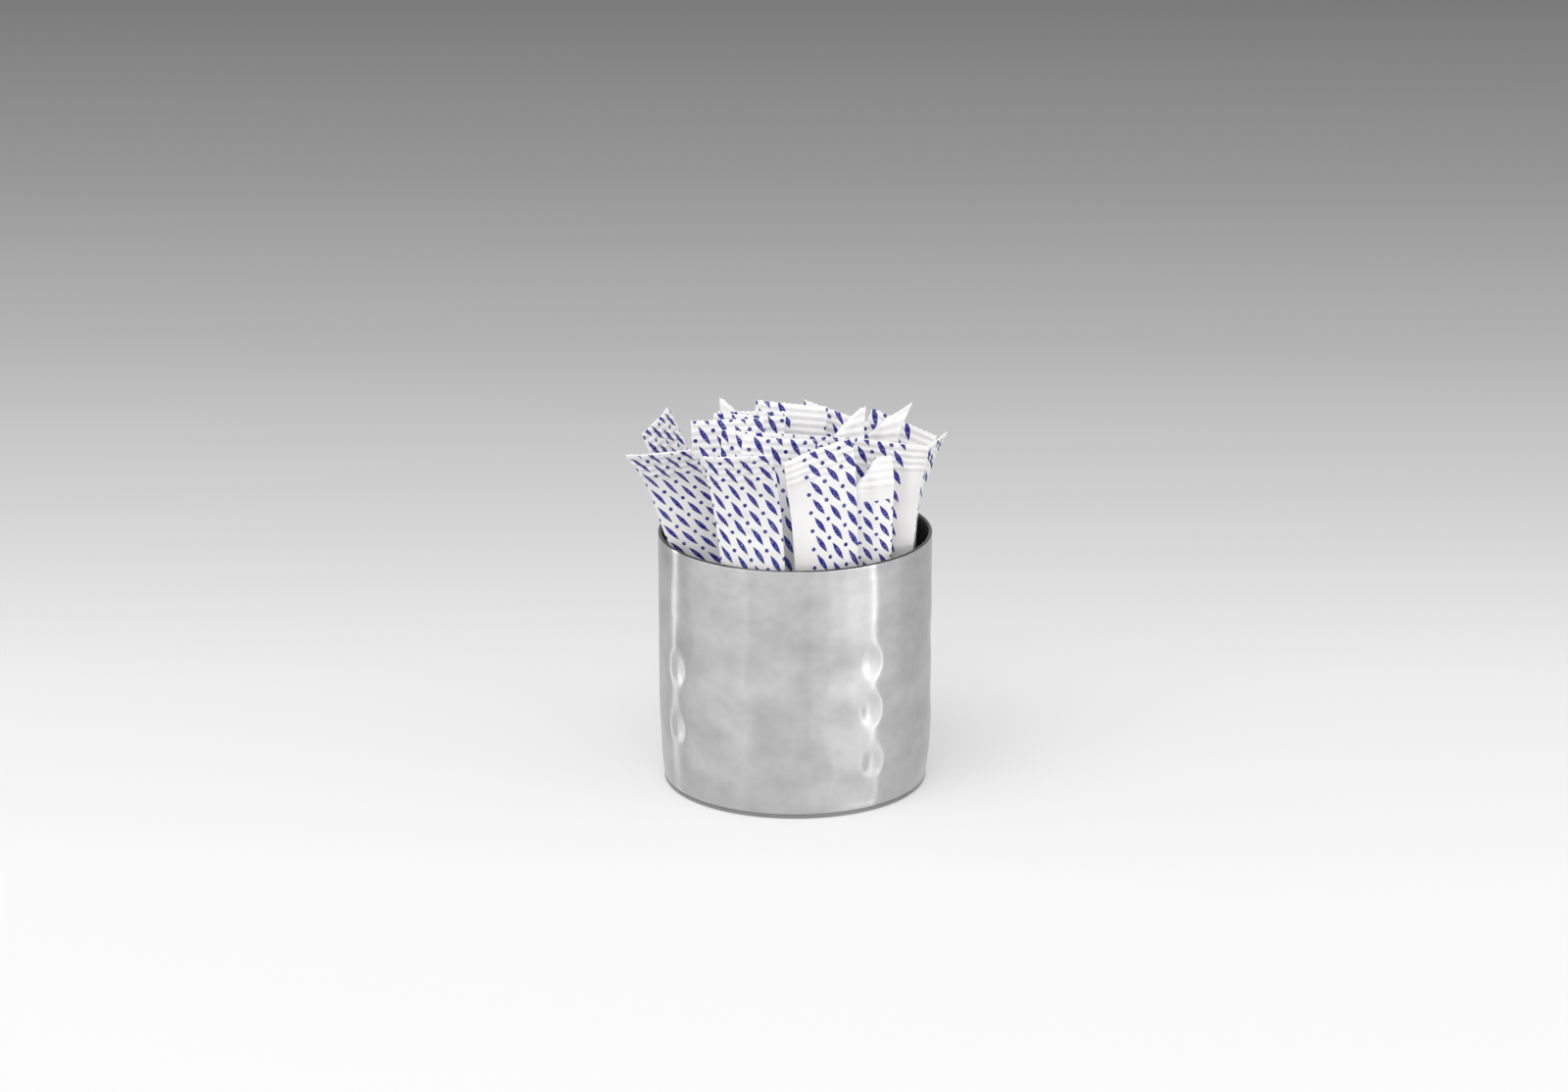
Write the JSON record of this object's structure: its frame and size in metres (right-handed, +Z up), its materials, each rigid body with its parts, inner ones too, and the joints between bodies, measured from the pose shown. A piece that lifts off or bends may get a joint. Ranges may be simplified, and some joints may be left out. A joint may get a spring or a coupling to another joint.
{
  "type": "sugar packet holder",
  "caption": "Hammered steel cup with a welded base plate, holding stick packets of sugar that stand on end and lift out one by one.",
  "frame": {"origin": "middle of the base plate's underside, on the table", "axes": "+Z up along the cup's axis, -Y towards the front of the picture's view, +X to its right"},
  "size_m": [0.0877, 0.0807, 0.1079],
  "materials": {
    "hammered_steel": "satin, hammered",
    "packet_paper": "matt, printed in blue",
    "sugar": "granular"
  },
  "bodies": {
    "cup": {"cup_wall": "hammered_steel", "base_plate": "hammered_steel"},
    "packet_01": {"packet_01_sleeve": "packet_paper", "packet_01_sugar": "sugar"},
    "packet_02": {"packet_02_sleeve": "packet_paper", "packet_02_sugar": "sugar"},
    "packet_03": {"packet_03_sleeve": "packet_paper", "packet_03_sugar": "sugar"},
    "packet_04": {"packet_04_sleeve": "packet_paper", "packet_04_sugar": "sugar"},
    "packet_05": {"packet_05_sleeve": "packet_paper", "packet_05_sugar": "sugar"},
    "packet_06": {"packet_06_sleeve": "packet_paper", "packet_06_sugar": "sugar"},
    "packet_07": {"packet_07_sleeve": "packet_paper", "packet_07_sugar": "sugar"},
    "packet_08": {"packet_08_sleeve": "packet_paper", "packet_08_sugar": "sugar"},
    "packet_09": {"packet_09_sleeve": "packet_paper", "packet_09_sugar": "sugar"},
    "packet_10": {"packet_10_sleeve": "packet_paper", "packet_10_sugar": "sugar"},
    "packet_11": {"packet_11_sleeve": "packet_paper", "packet_11_sugar": "sugar"},
    "packet_12": {"packet_12_sleeve": "packet_paper", "packet_12_sugar": "sugar"},
    "packet_13": {"packet_13_sleeve": "packet_paper", "packet_13_sugar": "sugar"},
    "packet_14": {"packet_14_sleeve": "packet_paper", "packet_14_sugar": "sugar"},
    "packet_15": {"packet_15_sleeve": "packet_paper", "packet_15_sugar": "sugar"},
    "packet_16": {"packet_16_sleeve": "packet_paper", "packet_16_sugar": "sugar"},
    "packet_17": {"packet_17_sleeve": "packet_paper", "packet_17_sugar": "sugar"},
    "packet_18": {"packet_18_sleeve": "packet_paper", "packet_18_sugar": "sugar"},
    "packet_19": {"packet_19_sleeve": "packet_paper", "packet_19_sugar": "sugar"},
    "packet_20": {"packet_20_sleeve": "packet_paper", "packet_20_sugar": "sugar"}
  },
  "joints": [
    {"name": "packet_01_lift", "type": "slide", "parent": "cup", "child": "packet_01", "axis": [-0.0625, -0.0469, 0.9969], "range_m": [0, 0.11]},
    {"name": "packet_02_lift", "type": "slide", "parent": "cup", "child": "packet_02", "axis": [-0.0209, -0.0522, 0.9984], "range_m": [0, 0.11]},
    {"name": "packet_03_lift", "type": "slide", "parent": "cup", "child": "packet_03", "axis": [0.0209, -0.0313, 0.9993], "range_m": [0, 0.11]},
    {"name": "packet_04_lift", "type": "slide", "parent": "cup", "child": "packet_04", "axis": [0.0365, -0.0261, 0.999], "range_m": [0, 0.11]},
    {"name": "packet_05_lift", "type": "slide", "parent": "cup", "child": "packet_05", "axis": [-0.0209, -0.0261, 0.9994], "range_m": [0, 0.11]},
    {"name": "packet_06_lift", "type": "slide", "parent": "cup", "child": "packet_06", "axis": [-0.3305, -0.0049, 0.9438], "range_m": [0, 0.11]},
    {"name": "packet_07_lift", "type": "slide", "parent": "cup", "child": "packet_07", "axis": [0.0365, -0.0209, 0.9991], "range_m": [0, 0.11]},
    {"name": "packet_08_lift", "type": "slide", "parent": "cup", "child": "packet_08", "axis": [-0.047, -0.0104, 0.9988], "range_m": [0, 0.11]},
    {"name": "packet_09_lift", "type": "slide", "parent": "cup", "child": "packet_09", "axis": [0.0418, -0.0209, 0.9989], "range_m": [0, 0.11]},
    {"name": "packet_10_lift", "type": "slide", "parent": "cup", "child": "packet_10", "axis": [-0.0157, -0.0105, 0.9998], "range_m": [0, 0.11]},
    {"name": "packet_11_lift", "type": "slide", "parent": "cup", "child": "packet_11", "axis": [-0.0157, -0.0157, 0.9998], "range_m": [0, 0.11]},
    {"name": "packet_12_lift", "type": "slide", "parent": "cup", "child": "packet_12", "axis": [-0.0105, -0.0105, 0.9999], "range_m": [0, 0.11]},
    {"name": "packet_13_lift", "type": "slide", "parent": "cup", "child": "packet_13", "axis": [-0.0209, -0.0104, 0.9997], "range_m": [0, 0.11]},
    {"name": "packet_14_lift", "type": "slide", "parent": "cup", "child": "packet_14", "axis": [0.0678, -0.0052, 0.9977], "range_m": [0, 0.11]},
    {"name": "packet_15_lift", "type": "slide", "parent": "cup", "child": "packet_15", "axis": [0.0678, 0, 0.9977], "range_m": [0, 0.11]},
    {"name": "packet_16_lift", "type": "slide", "parent": "cup", "child": "packet_16", "axis": [-0.0105, 0.0052, 0.9999], "range_m": [0, 0.11]},
    {"name": "packet_17_lift", "type": "slide", "parent": "cup", "child": "packet_17", "axis": [0.0105, 0.0052, 0.9999], "range_m": [0, 0.11]},
    {"name": "packet_18_lift", "type": "slide", "parent": "cup", "child": "packet_18", "axis": [0.3607, 0.0097, 0.9326], "range_m": [0, 0.11]},
    {"name": "packet_19_lift", "type": "slide", "parent": "cup", "child": "packet_19", "axis": [0.0833, 0, 0.9965], "range_m": [0, 0.11]},
    {"name": "packet_20_lift", "type": "slide", "parent": "cup", "child": "packet_20", "axis": [-0.0626, 0.0104, 0.998], "range_m": [0, 0.11]}
  ]
}
